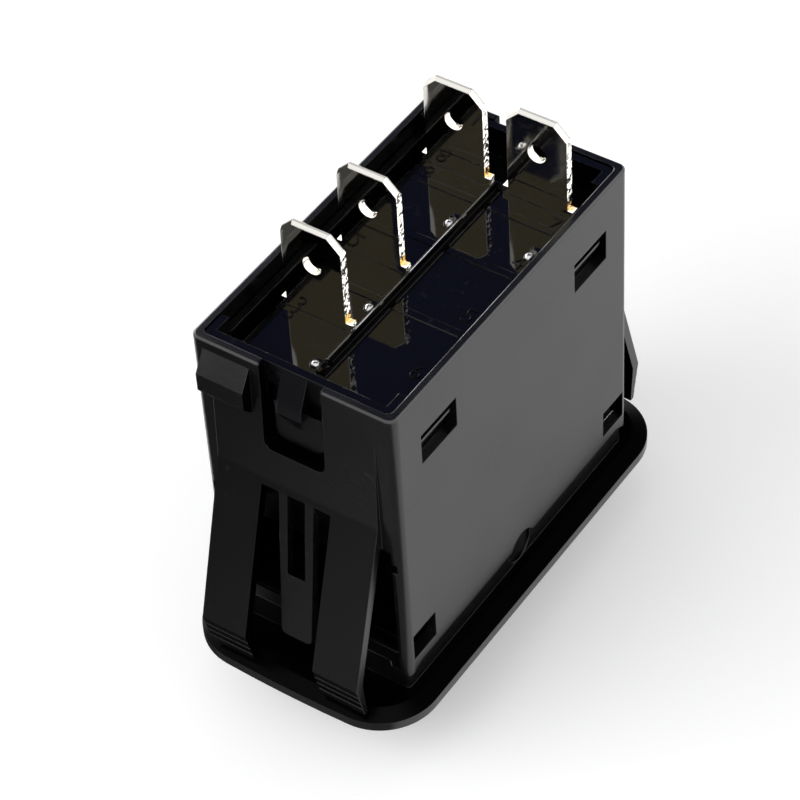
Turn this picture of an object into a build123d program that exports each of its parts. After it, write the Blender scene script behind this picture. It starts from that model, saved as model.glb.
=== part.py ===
from build123d import *
import os
from math import atan2, cos, radians, sin, tan

# A panel rocker switch with its terminals up. The origin is the centre of the bezel's back face,
# X runs along the long side and +Z points to the terminals. At rest the rocker is at its OFF detent.

# Sleeve that passes through the panel cut-out
body_length = 37.8
body_width = 21.0
body_depth = 35.0
body_corner = 0.9
cavity_corner = 0.6
end_wall = 1.6
side_wall = 1.1
rim_wall = 0.8
rim_edge = 0.2
moulding_gap = 0.1

# Neck between the sleeve and the flange
neck_height = 2.8
neck_step = 0.45
corner_tip_drop = 0.75
corner_tip_width = 0.6
corner_tip_root = 2.8

# Bezel flange and its crowned front
flange_length = 47.8
flange_width = 24.9
flange_corner = 5.9
flange_bow = 0.5
flange_thickness = 1.6
flange_bevel_height = 0.6
flange_bevel_inset = 1.5
crown_height = 2.5
crown_inset = 2.5

# Spring arms and centre tongue at each end
lean_top = 32.5
wall_lean = 0.5
flare_top = 21.4
slot_top = 20.7
slot_ramp_drop = 7.6
slit_width = 0.9
slit_wall = 1.1
slit_notch_top = 17.0
slit_notch_height = 1.1
slit_notch_depth = 0.5
arm_slope = 0.29
arm_root_rise = 1.0
arm_width = 4.8
arm_thickness = 1.0
arm_knee_height = 4.5
arm_foot_height = 0.45
arm_foot_return = 0.9
arm_foot_thickness = 0.5
arm_teeth = 3
arm_tooth_depth = 0.06
tongue_slope = 0.116
tongue_tip_height = 3.9
tongue_width = 3.7
tongue_tip_width = 3.3
tongue_tip_corner = 0.6
tongue_thickness = 0.9
tongue_window_width = 1.9
tongue_window_bottom = 11.4

# Notch and key at the rim
notch_width = 6.4
notch_depth = 9.8
notch_corner = 0.9
key_outset = 1.3
key_face_height = 1.9
key_top_drop = 1.0
key_slope_height = 2.1
key_under_height = 1.4
key_centre = 6.7
key_width = 4.9

# Windows in the long walls
latch_window_length = 5.4
latch_window_height = 3.4
latch_window_centre = 12.3
latch_window_bottom = 26.8
lower_window_length = 3.5
lower_window_height = 3.1
lower_window_centre = 16.2
lower_window_bottom = 3.9

# Terminal base
floor_recess = 3.15
ledge_height = 1.0
floor_thickness = 2.0
base_wall = 1.1
base_skirt_end = 17.0
base_rim_drop = 0.15
base_side_rim_drop = 1.7
base_side_rim = 0.8
hook_length = 2.6
hook_width = 0.8
channel_width = 0.8
channel_depth = 1.0
rib_length = 26.6
rib_width = 1.0
rib_height = 0.75
rib_step_length = 1.3
rib_step_height = 0.4
rib_top_radius = 0.4
cross_rib_width = 0.8
cross_rib_height = 0.1
pip_radius = 0.5
pip_height = 0.4
pip_y = 1.1
pip_low_x = -5.6
pip_high_x = 7.1
end_plate_width = 5.0
end_plate_outset = 0.2
end_plate_height = 4.3
end_plate_drop = 4.4
end_plate_corner = 1.0
recess_neck = 0.4
recess_depth = 1.1
latch_width = 2.6
latch_lean = 1.4
latch_nose_drop = 3.0
latch_heel_drop = 4.2
latch_tip_drop = 6.6
latch_tip_width = 0.5
snap_tab_length = 4.6
snap_tab_height = 1.7
snap_tab_rise = 0.5
snap_tab_outset = 0.8
snap_tab_land = 0.3

# Terminal blades, a standard quick-connect size
blade_width = 6.3
blade_thickness = 0.8
blade_length = 10.3
blade_tip_chamfer = 1.2
blade_tip_bevel = 0.3
blade_hole = 1.9
blade_hole_from_tip = 4.2
blade_shoulder = 0.55
blade_shoulder_height = 0.8
blade_slot_gap = 0.05
foot_width = 4.4
terminal_row = 4.4
terminal_3_x = -8.5
terminal_2_x = 0.0
lamp_terminal_x = 13.65
foot_reach_3 = 3.8
foot_reach_2 = 2.8
foot_reach_8 = 4.6
foot_reach_7 = 2.4

# Rocker
pivot_height = 2.0
pivot_boss_radius = 1.85
pivot_running_gap = 0.05
pivot_boss_reach = 0.35
rocker_end_gap = 0.4
rocker_side_gap = 0.4
rocker_tilt = 10.0
rocker_centre_reach = 5.4
rocker_end_reach = 6.9
rocker_end_x = 12.6
rocker_wall = 1.5
rocker_side = 1.2
rocker_rear_reach = 2.4
rocker_ear_radius = 3.4
web_thickness = 1.0
web_reach = 8.0
web_height = 5.0
lens_length = 6.5
lens_width = 3.0
lens_corner = 0.6
lens_centre = 7.6
lens_pipe = 2.0
lens_proud = 0.2
lens_gap = 0.05

# Stem, plunger and spring
stem_radius = 2.4
stem_end = 20.0
plunger_radius = 1.5
plunger_running_gap = 0.08
plunger_back = 17.2
plunger_gap = 0.4
plunger_nose = 1.42
spring_seat = 6.5
spring_radius = 1.15
spring_wire = 0.2
spring_turns = 7
spring_end_gap = 0.05

# Contact seesaw and its cradle
seesaw_drop = 1.9
seesaw_tilt = 5.0
seesaw_thickness = 0.7
seesaw_width = 3.6
seesaw_dish = 9.5
seesaw_dish_reach = 4.7
seesaw_contact_reach = 7.8
seesaw_tail_reach = 6.0
trunnion_radius = 0.5
trunnion_running_gap = 0.06
saddle_base = 0.6
saddle_cheek = 0.6
saddle_side_gap = 0.3
saddle_half_cheek = 1.1
contact_offset = 2.1
contact_radius = 1.5
contact_height = 0.8
contact_shank = 0.7
contact_closed_gap = 0.12
contact_edge = 0.24
tip_radius = 1.2
tip_edge = 0.16

# Chamber cover and lamps
cover_thickness = 1.6
cover_slot_gap = 0.5
cover_lip = 0.8
cover_lip_height = 1.2
lamp_radius = 1.5
lamp_height = 3.6
lamp_nose = 1.35
lamp_collar = 0.35
lamp_collar_height = 0.8
lamp_x = 9.2
lamp_gap = 0.05
lead_radius = 0.22
lead_pitch = 1.27
lead_bend = 0.6
lead_joint_drop = 4.9
resistor_radius = 0.85
resistor_length = 3.4
resistor_rise = 1.0
resistor_y = -0.8
lead_foot_inset = 0.5
strip_width = 2.2
strip_thickness = 0.5

# Seal between base and housing
seal_bottom = 22.2
seal_height = 1.2
seal_thickness = 0.6
seal_gap = 0.02

half_length = body_length / 2
half_width = body_width / 2
cavity_half_length = half_length - end_wall
cavity_half_width = half_width - side_wall
base_half_length = cavity_half_length - moulding_gap
base_half_width = cavity_half_width - moulding_gap
skirt_half_length = base_half_length - base_wall
skirt_half_width = base_half_width - base_wall
rim_height = body_depth - base_rim_drop
floor_top = rim_height - floor_recess
rim_seat = floor_top - ledge_height
floor_bottom = floor_top - floor_thickness
rim_half_length = half_length - rim_wall - moulding_gap
rim_half_width = half_width - rim_wall - moulding_gap
foot_bottom = floor_bottom - blade_thickness
seesaw_height = foot_bottom - seesaw_drop
lead_joint_height = foot_bottom - lead_joint_drop
resistor_height = lead_joint_height + resistor_rise
slit_edge = half_width - slit_wall
arm_outer = slit_edge - slit_width
arm_centre = arm_outer - arm_width / 2
slot_outset = wall_lean + arm_slope * (flare_top - slot_top)
rocker_radius = cavity_half_length - rocker_end_gap
rocker_half_width = cavity_half_width - rocker_side_gap
rocker_slope = (rocker_end_reach - rocker_centre_reach) / rocker_end_x
plunger_reach = seesaw_height - seesaw_thickness / 2 - plunger_gap - pivot_height
contact_x = terminal_3_x + blade_thickness / 2 + contact_offset
cover_bottom = base_skirt_end - cover_thickness
sides = (-1, 1)

os.makedirs("parts", exist_ok=True)


# Bezel outline at one height: a rectangle with bowed short ends and large corners
def flange_section(height, inset=0.0):
    bow_radius = (flange_width / 2) ** 2 / (2 * flange_bow)
    with BuildSketch(Plane.XY.offset(height), mode=Mode.PRIVATE) as section:
        Rectangle(flange_length - 2 * inset, flange_width - 2 * inset)
        for end in sides:
            with Locations((end * (flange_length / 2 - bow_radius), 0)):
                Circle(bow_radius - inset, mode=Mode.INTERSECT)
        fillet(section.vertices(), flange_corner - inset)
    return section.sketch


# Profile across an end, given for the +X end as distance out and height, at width position y
def end_profile(points, end, y=0.0):
    with BuildSketch(Plane.XZ.offset(-y), mode=Mode.PRIVATE) as profile:
        with BuildLine():
            Polyline(*[(end * x, z) for x, z in points], close=True)
        make_face()
    return profile.sketch


# Face of a spring arm's outer skin at a height
def arm_skin(height):
    return half_length + wall_lean + arm_slope * (flare_top - height)


# Spring arm: straight flare down to a knee, then a toothed foot that returns inwards
def arm_points():
    knee = arm_skin(arm_knee_height)
    root = slot_top + arm_root_rise
    points = [(arm_skin(root), root), (knee, arm_knee_height)]
    for step in range(1, arm_teeth + 1):
        share = step / (arm_teeth + 1)
        x = knee - arm_foot_return * share
        z = arm_knee_height - (arm_knee_height - arm_foot_height) * share
        points.append((x - arm_tooth_depth, z))
        points.append((x, z - arm_tooth_depth))
    points.append((knee - arm_foot_return, arm_foot_height))
    points.append((knee - arm_foot_return - arm_foot_thickness, arm_foot_height))
    points.append((knee - arm_thickness, arm_knee_height))
    points.append((arm_skin(root) - arm_thickness, root))
    return points


with BuildPart() as housing:
    # sleeve and neck
    with BuildSketch(Plane.XY.offset(neck_height)):
        RectangleRounded(body_length, body_width, body_corner)
    extrude(amount=body_depth - neck_height)
    chamfer(housing.faces().sort_by(Axis.Z)[-1].edges(), rim_edge)
    with BuildSketch():
        RectangleRounded(body_length - 2 * neck_step, body_width - 2 * neck_step, body_corner - neck_step)
    extrude(amount=neck_height)
    # short pointed tips under the sleeve's corners
    for end in sides:
        for side in sides:
            corner = Plane(
                origin=(end * half_length, side * half_width, neck_height),
                x_dir=(-side, end, 0),
                z_dir=(end, side, 0),
            )
            with BuildPart(mode=Mode.PRIVATE) as tip:
                with BuildSketch(corner):
                    with BuildLine():
                        Polyline(
                            (-corner_tip_root / 2, 0),
                            (-corner_tip_width / 2, -corner_tip_drop),
                            (corner_tip_width / 2, -corner_tip_drop),
                            (corner_tip_root / 2, 0),
                            close=True,
                        )
                    make_face()
                extrude(amount=corner_tip_root, both=True)
                with BuildSketch(Plane.XY.offset(neck_height)):
                    RectangleRounded(body_length, body_width, body_corner)
                extrude(amount=-neck_height, mode=Mode.INTERSECT)
            add(tip.part)
    # bezel flange with a bevelled back edge, and the crown in front of it
    extrude(flange_section(-flange_thickness), amount=flange_thickness - flange_bevel_height)
    loft([flange_section(-flange_bevel_height), flange_section(0, flange_bevel_inset)], ruled=True)
    crown_front = flange_section(-flange_thickness - crown_height, crown_inset)
    loft([flange_section(-flange_thickness), crown_front], ruled=True)
    # cavity through the whole moulding
    with BuildSketch(Plane.XY.offset(body_depth)):
        RectangleRounded(2 * cavity_half_length, 2 * cavity_half_width, cavity_corner)
    extrude(amount=-(body_depth + flange_thickness + crown_height), mode=Mode.SUBTRACT)
    with BuildSketch(Plane.XY.offset(body_depth)):
        RectangleRounded(body_length - 2 * rim_wall, body_width - 2 * rim_wall, cavity_corner)
    extrude(amount=rim_seat - body_depth, mode=Mode.SUBTRACT)
    # windows and pivot holes through both long walls
    latch_window_middle = latch_window_bottom + latch_window_height / 2
    lower_window_middle = lower_window_bottom + lower_window_height / 2
    with BuildSketch(Plane.XZ):
        with Locations(*[(end * latch_window_centre, latch_window_middle) for end in sides]):
            Rectangle(latch_window_length, latch_window_height)
        with Locations(*[(end * lower_window_centre, lower_window_middle) for end in sides]):
            Rectangle(lower_window_length, lower_window_height)
        with Locations((0, pivot_height)):
            Circle(pivot_boss_radius + pivot_running_gap)
    extrude(amount=body_width, both=True, mode=Mode.SUBTRACT)
    for end in sides:
        # open end below the ramp
        opening = [
            (half_length + slot_outset, slot_top),
            (half_length + slot_outset, neck_height),
            (cavity_half_length - end_wall, neck_height),
            (cavity_half_length - end_wall, slot_top - slot_ramp_drop),
            (cavity_half_length, slot_top - slot_ramp_drop),
        ]
        extrude(end_profile(opening, end), amount=slit_edge, both=True, mode=Mode.SUBTRACT)
        # small notches in the edges of the long walls
        with Locations(*[(end * half_length, side * slit_edge, slit_notch_top) for side in sides]):
            Box(
                2 * end_wall,
                2 * slit_notch_depth,
                slit_notch_height,
                align=(Align.CENTER, Align.CENTER, Align.MAX),
                mode=Mode.SUBTRACT,
            )
        # leaning wall above the slots, and the ramp back to the cavity
        flare = [
            (cavity_half_length, flare_top),
            (half_length - rim_wall / 2, lean_top),
            (half_length, lean_top),
            (half_length + wall_lean, flare_top),
            (half_length + slot_outset, slot_top),
            (cavity_half_length, slot_top - slot_ramp_drop),
        ]
        extrude(end_profile(flare, end), amount=arm_outer, both=True)
        for side in sides:
            extrude(end_profile(arm_points(), end, side * arm_centre), amount=arm_width / 2, both=True)
        # centre tongue with its window
        lean = atan2(tongue_slope, 1)
        tongue_plane = Plane(
            origin=(end * (half_length + slot_outset), 0, slot_top),
            x_dir=(0, end, 0),
            z_dir=(end * cos(lean), 0, sin(lean)),
        )
        tongue_length = (slot_top - tongue_tip_height) / cos(lean)
        window_length = (slot_top - tongue_window_bottom) / cos(lean)
        with BuildSketch(tongue_plane) as tongue:
            with BuildLine():
                Polyline(
                    (-tongue_width / 2, 0),
                    (tongue_width / 2, 0),
                    (tongue_tip_width / 2, -tongue_length),
                    (-tongue_tip_width / 2, -tongue_length),
                    close=True,
                )
            make_face()
            fillet(tongue.vertices().group_by(Axis.Y)[0], tongue_tip_corner)
            with Locations((0, -window_length / 2)):
                Rectangle(tongue_window_width, window_length, mode=Mode.SUBTRACT)
        extrude(amount=-tongue_thickness)
    # notch at the rim of both ends
    with BuildSketch(Plane.YZ) as notch:
        with Locations((0, body_depth - notch_depth / 2)):
            Rectangle(notch_width, notch_depth)
        fillet(notch.vertices().group_by(Axis.Y)[0], notch_corner)
    extrude(amount=body_length, both=True, mode=Mode.SUBTRACT)
    # key beside the notch, at one end only
    key_top = body_depth - key_top_drop
    key = [
        (half_length - end_wall / 2, key_top),
        (half_length, key_top),
        (half_length + key_outset, key_top - key_slope_height),
        (half_length + key_outset, key_top - key_slope_height - key_face_height),
        (half_length, key_top - key_slope_height - key_face_height - key_under_height),
        (half_length - end_wall / 2, key_top - key_slope_height - key_face_height - key_under_height),
    ]
    extrude(end_profile(key, -1, key_centre), amount=key_width / 2, both=True)
housing.part.label = "housing"
export_step(housing.part, "parts/housing.step")


with BuildPart() as terminal_base:
    # floor and skirt
    with BuildSketch(Plane.XY.offset(base_skirt_end)):
        RectangleRounded(2 * base_half_length, 2 * base_half_width, cavity_corner)
    extrude(amount=floor_top - base_skirt_end)
    with BuildSketch(Plane.XY.offset(base_skirt_end)):
        Rectangle(2 * skirt_half_length, 2 * skirt_half_width)
    extrude(amount=floor_bottom - base_skirt_end, mode=Mode.SUBTRACT)
    # ledge that rests in the sleeve's rim, low rim along the sides, full height at the hooked ends
    with BuildSketch(Plane.XY.offset(rim_seat)):
        RectangleRounded(2 * rim_half_length, 2 * rim_half_width, cavity_corner)
    extrude(amount=floor_top - rim_seat)
    with BuildSketch(Plane.XY.offset(floor_top)):
        RectangleRounded(2 * rim_half_length, 2 * rim_half_width, cavity_corner)
        Rectangle(2 * (rim_half_length - hook_width), 2 * (rim_half_width - base_side_rim), mode=Mode.SUBTRACT)
    extrude(amount=rim_height - base_side_rim_drop - floor_top)
    with BuildSketch(Plane.XY.offset(floor_top)):
        RectangleRounded(2 * rim_half_length, 2 * rim_half_width, cavity_corner)
        Rectangle(2 * (rim_half_length - hook_width), 2 * (rim_half_width - hook_width), mode=Mode.SUBTRACT)
        Rectangle(2 * (rim_half_length - hook_length), 2 * rim_half_width, mode=Mode.SUBTRACT)
    extrude(amount=rim_height - floor_top)
    # channel along the +Y side
    with BuildSketch(Plane.XY.offset(floor_top)):
        with Locations((0, rim_half_width - base_side_rim - channel_width / 2)):
            Rectangle(2 * (rim_half_length - hook_length), channel_width)
    extrude(amount=-channel_depth, mode=Mode.SUBTRACT)
    # centre rib with a low step at its near end
    with Locations((0, 0, floor_top)):
        Box(rib_length, rib_width, rib_height, align=(Align.CENTER, Align.CENTER, Align.MIN))
    rib_top = terminal_base.edges().filter_by(Axis.X).filter_by_position(
        Axis.Z, floor_top + rib_height - rim_edge, floor_top + rib_height + rim_edge
    )
    fillet(rib_top.filter_by_position(Axis.Y, -rib_width, rib_width), rib_top_radius)
    with Locations((-rib_length / 2 - rib_step_length / 2, 0, floor_top)):
        Box(rib_step_length, rib_width, rib_step_height, align=(Align.CENTER, Align.CENTER, Align.MIN))
    # low cross ribs between the terminal places
    rib_span = rim_half_width - base_side_rim - channel_width - rib_width
    cross_places = [(terminal_3_x + terminal_2_x) / 2, terminal_2_x - (terminal_3_x + terminal_2_x) / 2]
    cross_places.append(terminal_2_x - terminal_3_x + foot_reach_7)
    cross_y = rib_width / 2 + rib_span / 2
    with Locations(*[(x, side * cross_y, floor_top) for x in cross_places for side in sides]):
        Box(cross_rib_width, rib_span, cross_rib_height, align=(Align.CENTER, Align.CENTER, Align.MIN))
    # small round pips on the floor
    pip_places = [
        (-rib_length / 2 - pip_radius, pip_y),
        (pip_low_x, pip_y),
        (pip_high_x, pip_y),
        (pip_high_x, -pip_y - blade_width),
    ]
    with Locations(*[(x, y, floor_top + pip_height - pip_radius) for x, y in pip_places]):
        Sphere(pip_radius)
    plate_root = base_half_length - base_wall / 2
    plate_face = rim_half_length + end_plate_outset
    plate_top = rim_height - end_plate_drop
    plate_bottom = plate_top - end_plate_height
    recess_back = rim_half_length - recess_depth
    for end in sides:
        # recess at the notch, on both sides of the latch
        recess = [
            (rim_half_length, rim_height - rim_edge),
            (rim_half_length - recess_neck, floor_top),
            (recess_back, floor_top - recess_neck),
            (recess_back, plate_top),
            (body_length, plate_top),
            (body_length, rim_height - rim_edge),
        ]
        extrude(end_profile(recess, end), amount=notch_width / 2, both=True, mode=Mode.SUBTRACT)
        # plate that fills the notch below it
        with BuildSketch(Plane.YZ.offset(end * plate_root)) as plate:
            with Locations((0, (plate_top + plate_bottom) / 2)):
                Rectangle(end_plate_width, plate_top - plate_bottom)
            fillet(plate.vertices().group_by(Axis.Y)[0], end_plate_corner)
        extrude(amount=end * (plate_face - plate_root))
        # latch: leans out to its nose, then back to a point on the plate
        lean = [
            (rim_half_length - recess_neck, rim_height),
            (rim_half_length, rim_height),
            (rim_half_length + latch_lean, rim_height - latch_nose_drop),
            (rim_half_length + latch_lean, rim_height - latch_heel_drop),
            (plate_face, rim_height - latch_tip_drop),
            (plate_root, rim_height - latch_tip_drop),
            (plate_root, floor_top),
            (rim_half_length - recess_neck, floor_top),
        ]
        with BuildPart(mode=Mode.PRIVATE) as latch:
            extrude(end_profile(lean, end), amount=latch_width / 2, both=True)
            with BuildSketch(Plane.YZ):
                with BuildLine():
                    Polyline(
                        (-latch_width / 2, rim_height),
                        (-latch_width / 2, rim_height - latch_heel_drop),
                        (-latch_tip_width / 2, rim_height - latch_tip_drop),
                        (latch_tip_width / 2, rim_height - latch_tip_drop),
                        (latch_width / 2, rim_height - latch_heel_drop),
                        (latch_width / 2, rim_height),
                        close=True,
                    )
                make_face()
            extrude(amount=body_length, both=True, mode=Mode.INTERSECT)
        add(latch.part)
    # snap tabs for the windows in the long walls
    tab_top = latch_window_bottom + snap_tab_rise + snap_tab_height
    for end in sides:
        with BuildSketch(Plane.YZ.offset(end * latch_window_centre)):
            for side in sides:
                with BuildLine():
                    Polyline(
                        (side * (base_half_width - base_wall / 2), tab_top),
                        (side * (base_half_width + snap_tab_outset), tab_top),
                        (side * (base_half_width + snap_tab_outset), tab_top - snap_tab_land),
                        (side * base_half_width, tab_top - snap_tab_height),
                        (side * (base_half_width - base_wall / 2), tab_top - snap_tab_height),
                        close=True,
                    )
                make_face()
        extrude(amount=snap_tab_length / 2, both=True)
    # groove for the seal
    with BuildSketch(Plane.XY.offset(seal_bottom)):
        Rectangle(2 * cavity_half_length, 2 * cavity_half_width)
        Rectangle(
            2 * (base_half_length - seal_thickness), 2 * (base_half_width - seal_thickness), mode=Mode.SUBTRACT
        )
    extrude(amount=seal_height, mode=Mode.SUBTRACT)
    # slots for the blades
    blade_places = [
        (terminal_3_x, terminal_row),
        (terminal_2_x, terminal_row),
        (lamp_terminal_x, terminal_row),
        (lamp_terminal_x, -terminal_row),
    ]
    with BuildSketch(Plane.XY.offset(floor_bottom)):
        with Locations(*blade_places):
            Rectangle(blade_thickness + 2 * blade_slot_gap, blade_width + 2 * blade_slot_gap)
    extrude(amount=floor_thickness, mode=Mode.SUBTRACT)
terminal_base.part.label = "terminal_base"
export_step(terminal_base.part, "parts/terminal_base.step")


# Blades: each is one stamped strip, straight through the floor with a foot folded under it
terminals = {
    "terminal_3": (terminal_3_x, terminal_row, foot_reach_3),
    "terminal_2": (terminal_2_x, terminal_row, foot_reach_2),
    "terminal_8": (lamp_terminal_x, terminal_row, -foot_reach_8),
    "terminal_7": (lamp_terminal_x, -terminal_row, -foot_reach_7),
}
blade_tip = floor_top + blade_length
for label, (x, y, reach) in terminals.items():
    with BuildPart() as terminal:
        with BuildSketch(Plane.YZ.offset(x)) as blade:
            with Locations((y, (blade_tip + foot_bottom) / 2)):
                Rectangle(blade_width, blade_tip - foot_bottom)
            chamfer(blade.vertices().group_by(Axis.Y)[-1], blade_tip_chamfer)
            with Locations((y, floor_top + blade_shoulder_height / 2)):
                Rectangle(blade_width + 2 * blade_shoulder, blade_shoulder_height)
            with Locations((y, blade_tip - blade_hole_from_tip)):
                Circle(blade_hole / 2, mode=Mode.SUBTRACT)
        extrude(amount=blade_thickness / 2, both=True)
        tip_edges = terminal.edges().filter_by_position(Axis.Z, blade_tip - blade_tip_chamfer, blade_tip)
        chamfer(tip_edges.filter_by(Axis.X, reverse=True), blade_tip_bevel)
        foot_centre = x + (reach + (blade_thickness if reach > 0 else -blade_thickness) / 2) / 2
        with Locations((foot_centre, y, foot_bottom + blade_thickness / 2)):
            Box(abs(reach) + blade_thickness / 2, foot_width, blade_thickness)
        if label == "terminal_3":
            with Locations((contact_x, y, foot_bottom + blade_thickness)):
                Hole(contact_shank + blade_slot_gap, depth=blade_thickness)
    terminal.part.label = label
    export_step(terminal.part, f"parts/{label}.step")


with BuildPart() as fixed_contact:
    with Locations((contact_x, terminal_row, foot_bottom)):
        Cylinder(contact_radius, contact_height, align=(Align.CENTER, Align.CENTER, Align.MAX))
        Cylinder(contact_shank, blade_thickness, align=(Align.CENTER, Align.CENTER, Align.MIN))
    fillet(fixed_contact.edges().group_by(Axis.Z)[0], contact_edge)
fixed_contact.part.label = "fixed_contact"
export_step(fixed_contact.part, "parts/fixed_contact.step")


# Saddle: a plate under the foot of terminal 2 with two notched cheeks
cheek_inner = seesaw_width / 2 + saddle_side_gap
with BuildPart() as contact_saddle:
    with BuildSketch(Plane.XZ.offset(-terminal_row - cheek_inner - saddle_cheek)):
        with BuildLine():
            Polyline(
                (-saddle_half_cheek, foot_bottom),
                (terminal_2_x + foot_reach_2 + blade_thickness / 2, foot_bottom),
                (terminal_2_x + foot_reach_2 + blade_thickness / 2, foot_bottom - saddle_base),
                (saddle_half_cheek, foot_bottom - saddle_base),
                (saddle_half_cheek, seesaw_height),
                (trunnion_radius + trunnion_running_gap, seesaw_height - saddle_half_cheek),
                (-trunnion_radius - trunnion_running_gap, seesaw_height - saddle_half_cheek),
                (-saddle_half_cheek, seesaw_height),
                close=True,
            )
        make_face()
    extrude(amount=2 * (cheek_inner + saddle_cheek))
    with BuildSketch(Plane.XZ.offset(-terminal_row)):
        with Locations((0, seesaw_height)):
            Circle(trunnion_radius + trunnion_running_gap)
        with Locations((0, seesaw_height - saddle_half_cheek / 2)):
            Rectangle(2 * (trunnion_radius + trunnion_running_gap), saddle_half_cheek)
    extrude(amount=blade_width, both=True, mode=Mode.SUBTRACT)
    with Locations((0, terminal_row, foot_bottom - saddle_base)):
        Box(
            blade_width,
            2 * cheek_inner,
            blade_width,
            align=(Align.CENTER, Align.CENTER, Align.MAX),
            mode=Mode.SUBTRACT,
        )
contact_saddle.part.label = "contact_saddle"
export_step(contact_saddle.part, "parts/contact_saddle.step")


# Seesaw, drawn about its own pivot: two dished arms, and a land that lies flat when closed
dish_drop = seesaw_dish_reach * tan(radians(seesaw_dish))
land_drop = (seesaw_contact_reach - seesaw_dish_reach) * tan(radians(seesaw_tilt))
midline = [
    (-seesaw_contact_reach, -dish_drop - land_drop),
    (-seesaw_dish_reach, -dish_drop),
    (0, 0),
    (seesaw_tail_reach, -seesaw_tail_reach * tan(radians(seesaw_dish))),
]
seesaw_rest = Location((0, terminal_row, seesaw_height), (0, -seesaw_tilt, 0))
with BuildPart() as seesaw_shape:
    with BuildSketch(Plane.XZ):
        with BuildLine():
            upper = [(x, z + seesaw_thickness / 2) for x, z in midline]
            lower = [(x, z - seesaw_thickness / 2) for x, z in reversed(midline)]
            Polyline(*upper, *lower, close=True)
        make_face()
    extrude(amount=seesaw_width / 2, both=True)
    with BuildSketch(Plane.XZ):
        Circle(trunnion_radius)
    extrude(amount=cheek_inner + saddle_cheek, both=True)
with BuildPart() as moving_contact:
    with Locations(seesaw_rest):
        add(seesaw_shape.part)
moving_contact.part.label = "moving_contact"
export_step(moving_contact.part, "parts/moving_contact.step")


# Contact button on the land, as tall as the closed gap asks
land_z = -dish_drop - (-contact_x - seesaw_dish_reach) * tan(radians(seesaw_tilt)) + seesaw_thickness / 2
closed_z = seesaw_height + land_z * cos(radians(seesaw_tilt)) - contact_x * sin(radians(seesaw_tilt))
tip_height = foot_bottom - contact_height - contact_closed_gap - closed_z
land_normal = (-sin(radians(seesaw_tilt)), 0, cos(radians(seesaw_tilt)))
with BuildPart() as tip_shape:
    with BuildSketch(Plane(origin=(contact_x, 0, land_z), z_dir=land_normal)):
        Circle(tip_radius)
    extrude(amount=tip_height)
    fillet(tip_shape.edges().group_by(Axis.Z)[-1], tip_edge)
with BuildPart() as moving_contact_tip:
    with Locations(seesaw_rest):
        add(tip_shape.part)
moving_contact_tip.part.label = "moving_contact_tip"
export_step(moving_contact_tip.part, "parts/moving_contact_tip.step")


# Rocker, drawn about its pivot with its front towards -Z
def rocker_section(radius, front, rear):
    with BuildSketch(Plane.XZ, mode=Mode.PRIVATE) as section:
        Circle(radius)
        with BuildLine():
            Polyline(
                (-rocker_radius, rear),
                (-rocker_radius, -rocker_centre_reach - rocker_radius * rocker_slope + front),
                (0, -rocker_centre_reach + front),
                (rocker_radius, -rocker_centre_reach - rocker_radius * rocker_slope + front),
                (rocker_radius, rear),
                close=True,
            )
        make_face(mode=Mode.INTERSECT)
    return section.sketch


# Plane on the rocker's front at a light window
def lens_plane(end):
    lean = atan2(rocker_slope, 1)
    return Plane(
        origin=(end * lens_centre, 0, -rocker_centre_reach - lens_centre * rocker_slope),
        x_dir=(cos(lean), 0, -end * sin(lean)),
        z_dir=(-end * sin(lean), 0, -cos(lean)),
    )


rocker_rest = Location((0, 0, pivot_height), (0, rocker_tilt, 0))
stem_reach = stem_end - pivot_height
with BuildPart() as rocker_shape:
    extrude(rocker_section(rocker_radius, 0, -rocker_rear_reach), amount=rocker_half_width, both=True)
    extrude(
        rocker_section(rocker_radius - rocker_wall, rocker_wall, rocker_radius),
        amount=rocker_half_width - rocker_side,
        both=True,
        mode=Mode.SUBTRACT,
    )
    # ears and pivot bosses
    for side in sides:
        with BuildSketch(Plane.XZ.offset(-side * rocker_half_width)):
            Circle(rocker_ear_radius)
            with Locations((0, -rocker_ear_radius / 2)):
                Rectangle(2 * rocker_ear_radius, rocker_ear_radius)
        extrude(amount=side * rocker_side)
        with BuildSketch(Plane.XZ.offset(-side * rocker_half_width)):
            Circle(pivot_boss_radius)
        extrude(amount=-side * (rocker_side_gap + pivot_boss_reach))
    # stem on a web
    with BuildSketch(Plane.XZ.offset(-terminal_row)):
        with BuildLine():
            Polyline(
                (-web_reach, -rocker_centre_reach + rocker_wall / 2),
                (-stem_radius, web_height),
                (stem_radius, web_height),
                (web_reach, -rocker_centre_reach + rocker_wall / 2),
                close=True,
            )
        make_face()
    extrude(amount=web_thickness / 2, both=True)
    with Locations((0, terminal_row, -rocker_centre_reach + rocker_wall / 2)):
        Cylinder(
            stem_radius,
            stem_reach + rocker_centre_reach - rocker_wall / 2,
            align=(Align.CENTER, Align.CENTER, Align.MIN),
        )
    with Locations((0, terminal_row, stem_reach)):
        Cylinder(
            plunger_radius + plunger_running_gap,
            stem_end - spring_seat,
            align=(Align.CENTER, Align.CENTER, Align.MAX),
            mode=Mode.SUBTRACT,
        )
    # light windows
    for end in sides:
        with BuildSketch(lens_plane(end)):
            RectangleRounded(lens_length + 2 * lens_gap, lens_width + 2 * lens_gap, lens_corner + lens_gap)
        extrude(amount=2 * rocker_wall, both=True, mode=Mode.SUBTRACT)
with BuildPart() as rocker_button:
    with Locations(rocker_rest):
        add(rocker_shape.part)
rocker_button.part.label = "rocker_button"
export_step(rocker_button.part, "parts/rocker_button.step")


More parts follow.
